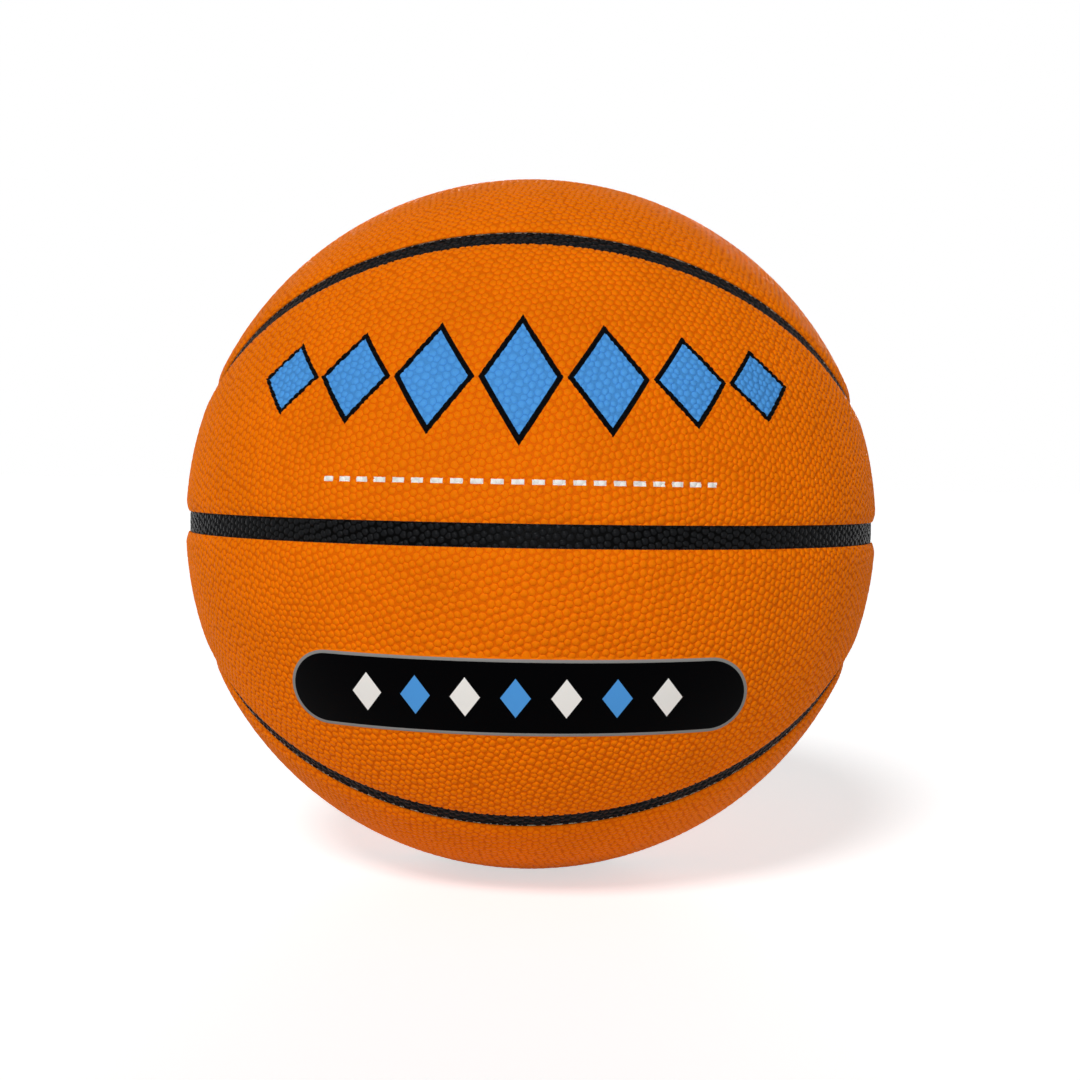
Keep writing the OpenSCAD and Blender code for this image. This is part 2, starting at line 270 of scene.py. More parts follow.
def pebble_grain(shape):
    """The grain of the whole ball: directions, height of each as a share of a pebble's, and triangles.
    Every lattice point, moved a little at random, is the middle of a pebble. Half-way points to its
    neighbours lie at the mean of two or three pebbles, each over its width, so a wide one pushes them away.
    The foot is a round ring of points on the lines to these, at a share of their mean distance and pulled in
    where one is too close. The top is a smaller ring, on the lines to the corners, at a share of the nearest
    point of the foot. Between the feet the groove is level."""
    foot_share, widest, top_share, top_height = 0.97, 0.96, 0.8, 0.9
    widths, heights = (0.9, 1.12), (0.8, 1.0)
    lattice_turn, lattice_axis, seed = math.radians(19), (0.3, 1, 0.2), 11
    chance = np.random.default_rng(seed)
    points, cells = even_lattice(shape.pebble_rows)
    count = len(points)
    pitch = CORNER_ANGLE / shape.pebble_rows
    # Values spread evenly to both sides stray by half their reach on average
    reach = 2 * pitch * shape.pebble_stray
    turn = np.array(Matrix.Rotation(lattice_turn, 3, lattice_axis))
    points = unit(points @ turn + chance.uniform(-reach, reach, points.shape))
    width = chance.uniform(*widths, count)
    tall = chance.uniform(*heights, count)

    end = np.roll(cells, -1, axis=1)
    keys, edge = np.unique(pair_keys(cells, end, count), return_inverse=True)
    edge = edge.reshape(cells.shape)
    low, high = keys // count, keys % count
    share = 1 / width[:, None]
    middles = unit(points[low] * share[low] + points[high] * share[high])
    centres = unit((points[cells] * share[cells]).sum(1))
    ends = np.stack([low, high], 1).reshape(-1)
    owner = cells.reshape(-1)
    side_run = np.repeat(middles, 2, 0) - points[ends]
    corner_run = np.repeat(centres, 3, 0) - points[owner]
    side_reach = np.linalg.norm(side_run, axis=1)
    corner_reach = np.linalg.norm(corner_run, axis=1)
    foot_reach = foot_share * np.bincount(ends, side_reach) / np.bincount(ends)
    side_run *= np.minimum(widest, foot_reach[ends] / side_reach)[:, None]
    corner_run *= np.minimum(widest, foot_reach[owner] / corner_reach)[:, None]
    side = count + 2 * edge + (cells > end)
    behind = count + 2 * np.roll(edge, 1, axis=1) + (cells > np.roll(cells, 1, axis=1))
    side_length = np.linalg.norm(side_run, axis=1)
    nearest = np.minimum(side_length[side - count], side_length[behind - count]).reshape(-1)
    top_run = corner_run * (top_share * np.minimum(1, nearest / np.linalg.norm(corner_run, axis=1)))[:, None]

    directions = unit(np.concatenate([
        points, points[ends] + side_run, points[owner] + corner_run, points[owner] + top_run]))
    height = np.concatenate([tall, np.zeros(len(ends) + len(owner)), tall[owner] * top_height])
    corner = count + len(ends) + np.arange(cells.size).reshape(cells.shape)
    top = corner + len(owner)
    # The top's corner on either side of each foot point that lies towards a neighbour
    foot = np.arange(len(ends))
    left_top = np.empty_like(foot)
    left_top[side - count] = top
    right_top = np.empty_like(foot)
    right_top[behind - count] = top
    # A groove between two feet is halved from the foot point that has the wider view across it
    far_side, far_corner = np.roll(behind, -1, axis=1), np.roll(corner, -1, axis=1)
    across = directions[corner] - directions[far_corner]
    near_view = (np.cross(across, directions[side] - directions[corner]) * directions[side]).sum(-1)
    far_view = (np.cross(across, directions[far_side] - directions[corner]) * directions[side]).sum(-1)
    near = near_view >= far_view
    base, tip = np.where(near, side, far_side), np.where(near, far_corner, corner)
    triangles = np.concatenate([
        np.stack([ends, right_top, left_top], 1), np.stack([count + foot, left_top, right_top], 1), corner,
        np.stack([
            np.stack([top, side, corner], -1), np.stack([top, corner, behind], -1),
            np.stack([side, far_side, tip], -1), np.stack([base, far_corner, corner], -1),
        ]).reshape(-1, 3),
    ])
    return directions, height, triangles


def oval_distance(directions, shape):
    """Angle of each direction outside the top oval, negative inside.
    The oval is four tangent arcs. The flat side is a circle about a point leaning back from the pole, and the
    rounded end a circle about a point leaning to the side. The plane through both centres parts the two."""
    tilt = shape.oval_long - shape.oval_end
    lean = shape.oval_short - shape.oval_end
    back = math.atan2(math.cos(lean) - math.cos(tilt), math.sin(lean))
    end_centre = np.array([math.sin(tilt), 0, math.cos(tilt)])
    side_centre = np.array([0, math.sin(back), math.cos(back)])
    parting = np.cross(end_centre, side_centre)
    tip = np.array([math.sin(shape.oval_long), 0, math.cos(shape.oval_long)]) @ parting
    folded = np.stack([np.abs(directions[:, 0]), -np.abs(directions[:, 1]), directions[:, 2]], 1)
    to_end = np.arccos(np.clip(folded @ end_centre, -1, 1)) - shape.oval_end
    to_side = np.arccos(np.clip(folded @ side_centre, -1, 1)) - (shape.oval_short + back)
    return np.where((folded @ parting) * tip > 0, to_end, to_side)


def seam_distances(directions, shape, back=False, low=False):
    """Distance along the face above the equator, in front of the meridian and outside the oval.
    The piece is first brought round to the upper front by mirroring. Each distance is an angle times the
    radius: the arcsine of Z, the arcsine of minus Y, or the angle from the oval."""
    turned = directions * np.array([1, -1 if back else 1, -1 if low else 1])
    equator = np.arcsin(np.clip(turned[:, 2], -1, 1))
    meridian = np.arcsin(np.clip(-turned[:, 1], -1, 1))
    radius = shape.face_radius
    return equator * radius, meridian * radius, oval_distance(turned, shape) * radius


def valve_axis(shape):
    """Direction of the valve, at the back: the cosine of its tilt along Y and the sine along Z."""
    return np.array([0, math.cos(shape.valve_tilt), math.sin(shape.valve_tilt)])


def panel_fields(directions, shape, kind, back, low, valve):
    """Distance inside each edge of a panel, one column for each edge.
    It is the distance from a seam less half the channel, or from the valve's axis less the hole's radius."""
    half = shape.channel_width / 2
    equator, meridian, oval = seam_distances(directions, shape, back, low)
    if kind == "dome":
        return np.stack([meridian - half, -oval - half], 1)
    columns = [equator - half, meridian - half, oval - half]
    if valve:
        angle = np.arccos(np.clip(directions @ valve_axis(shape), -1, 1))
        columns.append(angle * shape.face_radius - shape.valve_hole / 2)
    return np.stack(columns, 1)


def strip_fields(directions, shape, kind, low, left):
    """Distance inside each edge of a strip, one column for each edge.
    Long edges lie half a channel less a gap from the seam, and ends half a channel from the one they meet."""
    half = shape.channel_width / 2 - shape.strip_gap
    end = shape.channel_width / 2
    equator, meridian, oval = seam_distances(directions, shape, low=low)
    if kind == "equator":
        return np.stack([half - equator, half + equator], 1)
    if kind == "oval":
        return np.stack([half - oval, half + oval], 1)
    if kind == "cap":
        return np.stack([half - meridian, half + meridian, -oval - end], 1)
    side = directions[:, 0] * (-1 if left else 1) * shape.face_radius
    return np.stack([half - meridian, half + meridian, oval - end, equator - end, side], 1)


def cut_away(directions, height, triangles, field):
    """The triangles cut along the line where the field is zero, on its positive side.
    Along an edge the field is taken as straight, so the cut lies at its value at the kept end over the
    change. A vertex within a hair of the line counts as on it."""
    hair = 0.001 * MM
    value = np.where(np.abs(field) < hair, 0.0, field)
    inside = value >= 0
    kept = inside[triangles]
    many = kept.sum(1)
    turn = np.arange(3)
    one = triangles[many == 1]
    first = kept[many == 1].argmax(1)
    one = np.take_along_axis(one, (first[:, None] + turn) % 3, 1)
    two = triangles[many == 2]
    first = kept[many == 2].argmin(1)
    two = np.take_along_axis(two, (first[:, None] + turn) % 3, 1)

    kept_end = np.concatenate([one[:, 0], one[:, 0], two[:, 2], two[:, 1]])
    lost_end = np.concatenate([one[:, 1], one[:, 2], two[:, 0], two[:, 0]])
    count = len(directions)
    keys, slot = np.unique(kept_end * count + lost_end, return_inverse=True)
    a, b = keys // count, keys % count
    along = (value[a] / (value[a] - value[b]))[:, None]
    new_direction = unit(directions[a] + along * (directions[b] - directions[a]))
    new_height = height[a] + along[:, 0] * (height[b] - height[a])
    name = np.where(value[a] == 0, a, count + np.arange(len(keys)))[slot.reshape(-1)]
    n1, n2 = len(one), len(two)
    one_b, one_c = name[:n1], name[n1 : 2 * n1]
    two_c, two_b = name[2 * n1 : 2 * n1 + n2], name[2 * n1 + n2 :]
    triangles = np.concatenate([
        triangles[many == 3], np.stack([one[:, 0], one_b, one_c], 1),
        np.stack([two[:, 1], two[:, 2], two_c], 1), np.stack([two[:, 1], two_c, two_b], 1),
    ])
    whole = (triangles != np.roll(triangles, 1, axis=1)).all(1)
    triangles = triangles[whole]
    directions = np.concatenate([directions, new_direction])
    height = np.concatenate([height, new_height])
    used, triangles = np.unique(triangles, return_inverse=True)
    return directions[used], height[used], triangles.reshape(-1, 3)


def cut_piece(grain, fields):
    """The part of the grain where every field is positive, cut along one field after another.
    Triangles that lie a margin outside are left out first."""
    margin = 2 * MM
    directions, height, triangles = grain
    near = (fields(directions) > -margin).all(1)
    triangles = triangles[near[triangles].any(1)]
    used, triangles = np.unique(triangles, return_inverse=True)
    directions, height, triangles = directions[used], height[used], triangles.reshape(-1, 3)
    for column in range(fields(directions[:1]).shape[1]):
        directions, height, triangles = cut_away(directions, height, triangles, fields(directions)[:, column])
    return directions, height, triangles


def open_edges(triangles, count):
    """Edges that only one triangle uses, each in that triangle's direction."""
    start = triangles.reshape(-1)
    end = np.roll(triangles, -1, axis=1).reshape(-1)
    alone = ~np.isin(start * count + end, end * count + start)
    return start[alone], end[alone]


def foot_edges(height, triangles):
    """Edges where a pebble's side meets the level groove, with one triangle of each kind."""
    count = len(height)
    level = (height[triangles] == 0).all(1)
    end = np.roll(triangles, -1, axis=1)
    keys, place = np.unique(pair_keys(triangles, end, count).reshape(-1), return_inverse=True)
    sides = np.bincount(place)
    grooves = np.bincount(place, np.repeat(level, 3))
    keys = keys[(sides == 2) & (grooves == 1)]
    return np.stack([keys // count, keys % count], 1)


def fill_under(rim, edge_start, edge_end, fields):
    """Triangles that close the underside of a skin, on the rim's directions and a few more inside.
    Directions go to a plane by stereographic projection from the far side of the ball, which keeps their
    order. A Delaunay net of the plane is kept on the inner side of the rim, spread from its edges to their
    neighbours."""
    spare_rows, spare_margin, flat_scale, join = 15, 3 * MM, 100, 1e-9
    ring_share, steep = 0.05, 0.9
    spare, _ = even_lattice(spare_rows)
    spare = spare[(fields(spare) > spare_margin).all(1)]
    directions = np.concatenate([rim, spare])
    middle = directions.mean(0)
    # A strip that runs all round the ball has its middle at the centre, and is seen from above
    middle = unit(middle) if np.linalg.norm(middle) > ring_share else np.array([0.0, 0.0, 1.0])
    across = unit(np.cross(middle, [0, 0, 1] if abs(middle[2]) < steep else [0, 1, 0]))
    frame_axes = np.stack([across, np.cross(middle, across)], 1)
    flat = flat_scale * (directions @ frame_axes) / (1 + directions @ middle)[:, None]
    rim_edges = np.stack([edge_start, edge_end], 1)
    _, _, faces, origins, _, _ = delaunay_2d_cdt(
        [Vector(p) for p in flat.tolist()], rim_edges.tolist(), [], 0, join, True)
    source = np.array([o[0] for o in origins])
    net = source[np.array(faces)]

    count = len(directions)
    start = net.reshape(-1)
    end = np.roll(net, -1, axis=1).reshape(-1)
    key = start * count + end
    triangle = np.repeat(np.arange(len(net)), 3)
    rim_key = edge_start * count + edge_end
    inside = np.zeros(len(net), bool)
    inside[triangle[np.isin(key, rim_key)]] = True
    order = np.argsort(key)
    place = np.searchsorted(key[order], end * count + start)
    place = np.minimum(place, len(order) - 1)
    paired = key[order][place] == end * count + start
    wall = np.isin(key, rim_key) | np.isin(end * count + start, rim_key)
    joined = paired & ~wall
    here, there = triangle[joined], triangle[order[place[joined]]]
    known = 0
    while inside.sum() != known:
        known = inside.sum()
        inside[there[inside[here]]] = True
    return spare, net[inside][:, ::-1]


def build_mesh(name, points, triangles, grain_height, sharp_pairs):
    """A smooth mesh of whole arrays, with the grain's height on its vertices.
    The given edges are hard lines."""
    mesh = bpy.data.meshes.new(name)
    mesh.vertices.add(len(points))
    mesh.vertices.foreach_set("co", points.astype(np.float32).ravel())
    mesh.loops.add(triangles.size)
    mesh.loops.foreach_set("vertex_index", triangles.astype(np.int32).ravel())
    mesh.polygons.add(len(triangles))
    mesh.polygons.foreach_set("loop_start", np.arange(0, triangles.size, 3, dtype=np.int32))
    mesh.update(calc_edges=True)
    mesh.polygons.foreach_set("use_smooth", np.ones(len(triangles), bool))
    attribute = mesh.attributes.new("pebble", "FLOAT", "POINT")
    attribute.data.foreach_set("value", grain_height.astype(np.float32))
    ends = np.zeros(2 * len(mesh.edges), np.int32)
    mesh.edges.foreach_get("vertices", ends)
    ends = ends.astype(np.int64).reshape(-1, 2)
    sharp = np.isin(pair_keys(*ends.T, len(points)), pair_keys(*sharp_pairs.T, len(points)))
    mesh.edges.foreach_set("use_edge_sharp", sharp)
    mesh.update()
    if mesh.validate():
        raise RuntimeError(f"{name} had faces that Blender had to mend")
    return mesh


def closed_skin(name, cut, top_radius, under_radius, fields):
    """A skin of pebbles closed by walls round its edge and a plain underside.
    The top lies at its own radius for each direction, and every edge of it drops straight to the
    underside."""
    directions, height, triangles = cut
    count = len(directions)
    start, end = open_edges(triangles, count)
    rim, place = np.unique(np.concatenate([start, end]), return_inverse=True)
    low_start, low_end = place.reshape(2, -1)
    spare, net = fill_under(directions[rim], low_start, low_end, fields)
    points = np.concatenate([
        directions * top_radius[:, None], directions[rim] * under_radius, spare * under_radius])
    low_start, low_end = count + low_start, count + low_end
    faces = np.concatenate([
        triangles, np.stack([end, start, low_start], 1), np.stack([end, low_start, low_end], 1), count + net])
    heights = np.concatenate([height, np.zeros(len(rim) + len(spare))])
    sharp = np.concatenate([
        np.stack([start, end], 1), np.stack([low_start, low_end], 1), foot_edges(height, triangles)])
    return build_mesh(name, points, faces, heights, sharp)


def panel_radius(height, fields, shape, valve):
    """Radius of a panel's top: the face, less the fall of the shoulders, less what the pebble lacks.
    Towards an edge a shoulder falls by the square of the share of its width that is left. Where two meet,
    what one leaves standing is multiplied by what the other leaves. The lip of the valve's hole falls by such
    a square too."""
    lip_width, lip_fall = 1.2 * MM, 0.35 * MM
    seams = fields[:, :-1] if valve else fields
    left = np.clip(1 - seams / shape.shoulder_width, 0, 1) ** 2
    fall = shape.shoulder_drop * (1 - np.prod(1 - left, axis=1))
    if valve:
        lip = np.clip(1 - fields[:, -1] / lip_width, 0, 1) ** 2
        fall = fall + lip_fall * lip
    return shape.face_radius - fall - (1 - height) * shape.pebble_height


def put(tree, kind, sockets=(), **settings):
    """Adds a shader node, sets it up, links or fills its sockets, and gives its outputs.
    Sockets are a list from the first one on, or go by name or number. Map Range takes a value, the range it
    has and the range it gets. Mix has the share as 0, two numbers as 2 and 3, and two colours as 6 and 7."""
    node = tree.nodes.new("ShaderNode" + kind)
    for name, value in settings.items():
        setattr(node, name, value)
    for name, value in sockets.items() if isinstance(sockets, dict) else enumerate(sockets):
        if isinstance(value, bpy.types.NodeSocket):
            tree.links.new(value, node.inputs[name])
        else:
            node.inputs[name].default_value = value
    return node.outputs


def fresh_material(name):
    """A material with an empty node tree."""
    material = bpy.data.materials.new(name)
    material.use_nodes = True
    material.node_tree.nodes.clear()
    return material, material.node_tree


def seen_directly(tree):
    """One for rays from the camera, off a mirror-like surface or through a clear one, and zero for others."""
    ray = put(tree, "LightPath")
    seen = put(tree, "Math", [ray["Is Camera Ray"], ray["Is Glossy Ray"]], operation="MAXIMUM")[0]
    return put(tree, "Math", [seen, ray["Is Transmission Ray"]], operation="MAXIMUM")[0]


def lozenge_row(tree, run, pitch):
    """Place in a row of lozenges that are a pitch apart, with one in the middle.
    The first result counts the lozenges from the middle one to the nearest, and the second is the distance
    from the nearest one's middle over the pitch."""
    steps = put(tree, "Math", [run, pitch], operation="DIVIDE")[0]
    number = put(tree, "Math", [steps], operation="ROUND")[0]
    rank = put(tree, "Math", [number], operation="ABSOLUTE")[0]
    part = put(tree, "Math", [steps, number], operation="SUBTRACT")[0]
    return rank, put(tree, "Math", [part], operation="ABSOLUTE")[0]


def screen_print(tree, place, ground, colours):
    """Colour of a print over the ground colour: seven lozenges, tallest in the middle, over a dashed line.
    A point's longitude counts the lozenges. Inside one, its share of the half width plus its share of the
    half height is below one, and what is left over, times the lozenge's inner radius, is the distance from
    the edge. Sizes are in millimetres on the face, and latitudes, the pitch and the reach of the dashes in
    degrees."""
    radius, row_latitude, dash_latitude, dash_reach = FACE_RADIUS / MM, 22.5, 7.4, 29.0
    pitch, half_width, half_height, step, row_reach = 13.4, 12.6, 21.5, 3.1, 3.5
    line_width, dash_width, dash_pitch, dash_share = 1.7, 1.5, 6.0, 0.62
    crisp, whole_beats = 0.1, 100
    direction = put(tree, "VectorMath", [place], operation="NORMALIZE")["Vector"]
    split = put(tree, "SeparateXYZ", [direction])
    forward = put(tree, "Math", [split["Y"], -1], operation="MULTIPLY")[0]
    longitude = put(tree, "Math", [split["X"], forward], operation="ARCTAN2")[0]
    latitude = put(tree, "Math", [split["Z"]], operation="ARCSINE")[0]

    rank, across = lozenge_row(tree, longitude, math.radians(pitch))
    row_pitch = math.radians(pitch) * radius * math.cos(math.radians(row_latitude))
    across = put(tree, "Math", [across, row_pitch / half_width], operation="MULTIPLY")[0]
    tall = put(tree, "Math", [rank, -step, half_height], operation="MULTIPLY_ADD")[0]
    above = put(tree, "Math", [latitude, math.radians(row_latitude)], operation="SUBTRACT")[0]
    above = put(tree, "Math", [above], operation="ABSOLUTE")[0]
    above = put(tree, "Math", [above, radius], operation="MULTIPLY")[0]
    above = put(tree, "Math", [above, tall], operation="DIVIDE")[0]
    filled = put(tree, "Math", [across, above], operation="ADD")[0]
    inner = half_width * half_height / math.hypot(half_width, half_height)
    inset = put(tree, "Math", [filled, -inner, inner], operation="MULTIPLY_ADD")[0]
    in_row = put(tree, "Math", [rank, row_reach], operation="LESS_THAN")[0]
    colour = ground
    for depth, layer in ((0, colours.outline), (line_width, colours.ink)):
        part = put(tree, "MapRange", [inset, depth, depth + crisp])[0]
        part = put(tree, "Math", [part, in_row], operation="MULTIPLY")[0]
        colour = put(tree, "Mix", {0: part, 6: colour, 7: (*layer, 1)}, data_type="RGBA")[2]

    off_line = put(tree, "Math", [latitude, math.radians(dash_latitude)], operation="SUBTRACT")[0]
    off_line = put(tree, "Math", [off_line], operation="ABSOLUTE")[0]
    on_line = put(tree, "Math", [off_line, dash_width / 2 / radius], operation="LESS_THAN")[0]
    # Whole beats are added, so that the count of dashes is never negative
    start = dash_share / 2 + whole_beats
    beat = put(tree, "Math", [longitude, radius / dash_pitch, start], operation="MULTIPLY_ADD")[0]
    beat = put(tree, "Math", [beat], operation="FRACT")[0]
    on_beat = put(tree, "Math", [beat, dash_share], operation="LESS_THAN")[0]
    aside = put(tree, "Math", [longitude], operation="ABSOLUTE")[0]
    on_run = put(tree, "Math", [aside, math.radians(dash_reach)], operation="LESS_THAN")[0]
    dash = put(tree, "Math", [on_line, on_beat], operation="MULTIPLY")[0]
    dash = put(tree, "Math", [dash, on_run], operation="MULTIPLY")[0]
    return put(tree, "Mix", {0: dash, 6: colour, 7: (*colours.dash, 1)}, data_type="RGBA")[2]


def embossed_leather(name, colour, groove, rough, shine, print_colours=None):
    """Composite leather, polyurethane on microfibre, embossed with pebbles.
    The eye sees a satin skin with its own light on each pebble, painted shade in the grooves, which makes
    the colour darker and redder there, a duller skin in the grooves, faint clouds of tone over a few
    centimetres and a fine grain on the pebbles. Print follows the grain and takes the painted shade too."""
    groove_height, groove_shade, groove_dulling, tones = 0.4, 0.8, 0.15, (0.95, 1.03)
    material, tree = fresh_material(name)
    place = put(tree, "TexCoord")["Object"]
    pebble = put(tree, "Attribute", attribute_name="pebble")["Fac"]
    raised = put(tree, "MapRange", [pebble, 0, groove_height], interpolation_type="SMOOTHSTEP")[0]
    # Clouds of tone about 25 mm across
    clouds = put(tree, "TexNoise", {"Vector": place, "Scale": 1 / (25 * MM), "Detail": 3.0})[0]
    tone = put(tree, "MapRange", [clouds, *NOISE_SPAN, *tones])[0]
    # Grain of the skin, really about 0.1 mm, drawn at 0.4 mm so that it shows
    grain = put(tree, "TexNoise", {"Vector": place, "Scale": 1 / (0.4 * MM), "Detail": 2.0})[0]
    # Painted shade: in the grooves the ground takes the groove colour, darker and redder than the leather's
    ground = put(tree, "Mix", {0: raised, 6: (*groove, 1), 7: (*colour, 1)}, data_type="RGBA")[2]
    if print_colours:
        ground = screen_print(tree, place, ground, print_colours)
    # Painted shade: the colour, print included, is darker in the grooves
    shade = put(tree, "MapRange", [raised, 0, 1, groove_shade, 1])[0]
    tone = put(tree, "Math", [tone, shade], operation="MULTIPLY")[0]
    colour_with_painted_shade = put(tree, "VectorMath", {0: ground, "Scale": tone}, operation="SCALE")[0]
    gloss = put(tree, "MapRange", [raised, 0, 1, rough + groove_dulling, rough])[0]
    relief = put(tree, "Bump", {"Strength": 0.3, "Distance": 0.04 * MM, "Height": grain})[0]
    skin = put(tree, "BsdfPrincipled", {
        "Base Color": colour_with_painted_shade, "Roughness": gloss, "Normal": relief, "IOR": 1.5, "Specular IOR Level": shine})
    put(tree, "OutputMaterial", {"Surface": skin[0]})
    return material


def badge_film(shape, colours):
    """Polyurethane film, screen printed and pressed smooth.
    The eye sees a black satin bar with a thin grey edge, a row of small lozenges in two colours, and the soft
    waviness that pressed film keeps. Sizes are in millimetres."""
    material, tree = fresh_material("polyurethane film, screen printed")
    lozenge_pitch, half_width, half_height, row_reach = 15.0, 4.6, 6.2, 3.5
    edge_width, crisp, soft_share, gloss_span = 0.9, 0.1, 0.97, (0.36, 0.46)
    place = put(tree, "TexCoord")["Object"]
    scaled = put(tree, "VectorMath", {0: place, "Scale": 1 / MM}, operation="SCALE")[0]
    split = put(tree, "SeparateXYZ", [scaled])
    aside = put(tree, "Math", [split["X"]], operation="ABSOLUTE")[0]
    straight = (shape.badge_width - shape.badge_height) / 2 / MM
    beyond = put(tree, "Math", [aside, straight], operation="SUBTRACT")[0]
    beyond = put(tree, "Math", [beyond, 0], operation="MAXIMUM")[0]
    above = put(tree, "Math", [split["Z"], shape.badge_drop / MM], operation="ADD")[0]
    reach = put(tree, "CombineXYZ", [beyond, above])[0]
    reach = put(tree, "VectorMath", [reach], operation="LENGTH")["Value"]
    inset = put(tree, "Math", [shape.badge_height / 2 / MM, reach], operation="SUBTRACT")[0]
    ground = put(tree, "MapRange", [inset, edge_width, edge_width + crisp])[0]

    rank, part = lozenge_row(tree, split["X"], lozenge_pitch)
    up = put(tree, "Math", [above], operation="ABSOLUTE")[0]
    up = put(tree, "Math", [up, half_height], operation="DIVIDE")[0]
    wide = lozenge_pitch / half_width
    filled = put(tree, "Math", [part, wide, up], operation="MULTIPLY_ADD")[0]
    lozenge = put(tree, "MapRange", [filled, 1, soft_share])[0]
    in_row = put(tree, "Math", [rank, row_reach], operation="LESS_THAN")[0]
    lozenge = put(tree, "Math", [lozenge, in_row], operation="MULTIPLY")[0]
    odd = put(tree, "Math", [rank, 2], operation="MODULO")[0]

    edge, middle = (*colours.badge_edge, 1), (*colours.badge, 1)
    ink = put(tree, "Mix", {0: odd, 6: (*colours.ink, 1), 7: (*colours.dash, 1)}, data_type="RGBA")[2]
    colour = put(tree, "Mix", {0: ground, 6: edge, 7: middle}, data_type="RGBA")[2]
    colour = put(tree, "Mix", {0: lozenge, 6: colour, 7: ink}, data_type="RGBA")[2]
    # Waviness of pressed film, about 5 mm across, and a print grain drawn at 0.5 mm so that it shows
    wave = put(tree, "TexNoise", {"Vector": place, "Scale": 1 / (5 * MM), "Detail": 1.0})[0]
    grain = put(tree, "TexNoise", {"Vector": place, "Scale": 1 / (0.5 * MM), "Detail": 2.0})[0]
    gloss = put(tree, "MapRange", [grain, *NOISE_SPAN, *gloss_span])[0]
    relief = put(tree, "Bump", {"Strength": 0.4, "Distance": 0.05 * MM, "Height": wave})[0]
    film = put(tree, "BsdfPrincipled", {
        "Base Color": colour, "Roughness": gloss, "Normal": relief, "IOR": 1.5, "Specular IOR Level": 0.012})
    put(tree, "OutputMaterial", {"Surface": film[0]})
    return material


def moulded_rubber(name, colour, bloom, rough, mark):
    """Rubber, moulded and left as it leaves the mould.
    The eye sees a dull dark skin with a pale bloom in soft patches about 12 mm across and the fine
    spark-eroded texture of the mould, whose marks have the given size."""
    bloom_span, bloom_dulling = (0.42, 0.75), 0.15
    material, tree = fresh_material(name)
    place = put(tree, "TexCoord")["Object"]
    patches = put(tree, "TexNoise", {"Vector": place, "Scale": 1 / (12 * MM), "Detail": 4.0})[0]
    patches = put(tree, "MapRange", [patches, *bloom_span])[0]
    texture = put(tree, "TexNoise", {"Vector": place, "Scale": 1 / mark, "Detail": 2.0})[0]
    skin = put(tree, "Mix", {0: patches, 6: (*colour, 1), 7: (*bloom, 1)}, data_type="RGBA")[2]
    dull = put(tree, "MapRange", [patches, 0, 1, rough, rough + bloom_dulling])[0]
    relief = put(tree, "Bump", {"Strength": 0.35, "Distance": 0.1 * MM, "Height": texture})[0]
    rubber = put(tree, "BsdfPrincipled", {
        "Base Color": skin, "Roughness": dull, "Normal": relief, "IOR": 1.52, "Specular IOR Level": 0.4})
    put(tree, "OutputMaterial", {"Surface": rubber[0]})
    return material


def wound_thread(name, colour, shade):
    """Nylon thread, wound in great circles and dipped in latex.
    The eye sees pale threads side by side that cross older layers at a slant, with painted shade between
    them."""
    thread, turns = 0.9 * MM, ((0.0, 0.3, 0.2), (0.9, 0.1, 1.1), (0.4, 1.2, 2.0))
    second_layer, third_layer = 0.46, 0.55
    # A wave texture runs through this angle for each metre at a scale of one
    wave_angle = 20
    scale = 2 * math.pi / wave_angle / thread
    material, tree = fresh_material(name)
    place = put(tree, "TexCoord")["Object"]
    layers = []
    for turn in turns:
        laid = put(tree, "Mapping", {"Vector": place, "Rotation": turn})[0]
        layers.append(put(tree, "TexWave", {
            "Vector": laid, "Scale": scale, "Distortion": 0.6, "Detail Scale": 0.05})["Fac"])
    # Where one layer gives way to another, in patches about 14 mm across
    lay = put(tree, "TexNoise", {"Vector": place, "Scale": 1 / (14 * MM), "Detail": 1.0})[0]
    second = put(tree, "Math", [lay, second_layer], operation="GREATER_THAN")[0]
    third = put(tree, "Math", [lay, third_layer], operation="GREATER_THAN")[0]
    ridge = put(tree, "Mix", {0: second, 2: layers[0], 3: layers[1]})[0]
    ridge = put(tree, "Mix", {0: third, 2: ridge, 3: layers[2]})[0]
    # Painted shade: the sunk hollows between threads take the darker colour
    skin = put(tree, "Mix", {0: ridge, 6: (*shade, 1), 7: (*colour, 1)}, data_type="RGBA")[2]
    relief = put(tree, "Bump", {"Strength": 0.8, "Distance": 0.3 * MM, "Height": ridge})[0]
    yarn = put(tree, "BsdfPrincipled", {
        "Base Color": skin, "Roughness": 0.62, "Normal": relief, "IOR": 1.53})
    put(tree, "OutputMaterial", {"Surface": yarn[0]})
    return material


def skived_sponge(name, colour, shade):
    """Sponge rubber, skived from a block.
    The eye sees a dry cream sheet full of small open cells, with painted shade inside them."""
    cell, cell_span, tones = 0.8 * MM, (0.15, 0.55), (0.9, 1.05)
    material, tree = fresh_material(name)
    place = put(tree, "TexCoord")["Object"]
    cells = put(tree, "TexVoronoi", {"Vector": place, "Scale": 1 / cell})["Distance"]
    wall = put(tree, "MapRange", [cells, *cell_span])[0]
    # Clouds of tone about 20 mm across
    clouds = put(tree, "TexNoise", {"Vector": place, "Scale": 1 / (20 * MM), "Detail": 3.0})[0]
    tone = put(tree, "MapRange", [clouds, *NOISE_SPAN, *tones])[0]
    # Painted shade: the sunk middle of each cell takes the darker colour
    skin = put(tree, "Mix", {0: wall, 6: (*shade, 1), 7: (*colour, 1)}, data_type="RGBA")[2]
    skin = put(tree, "VectorMath", {0: skin, "Scale": tone}, operation="SCALE")[0]
    relief = put(tree, "Bump", {"Strength": 0.7, "Distance": 0.2 * MM, "Height": wall})[0]
    sponge = put(tree, "BsdfPrincipled", {
        "Base Color": skin, "Roughness": 0.9, "Normal": relief, "IOR": 1.5, "Specular IOR Level": 0.25})
    put(tree, "OutputMaterial", {"Surface": sponge[0]})
    return material


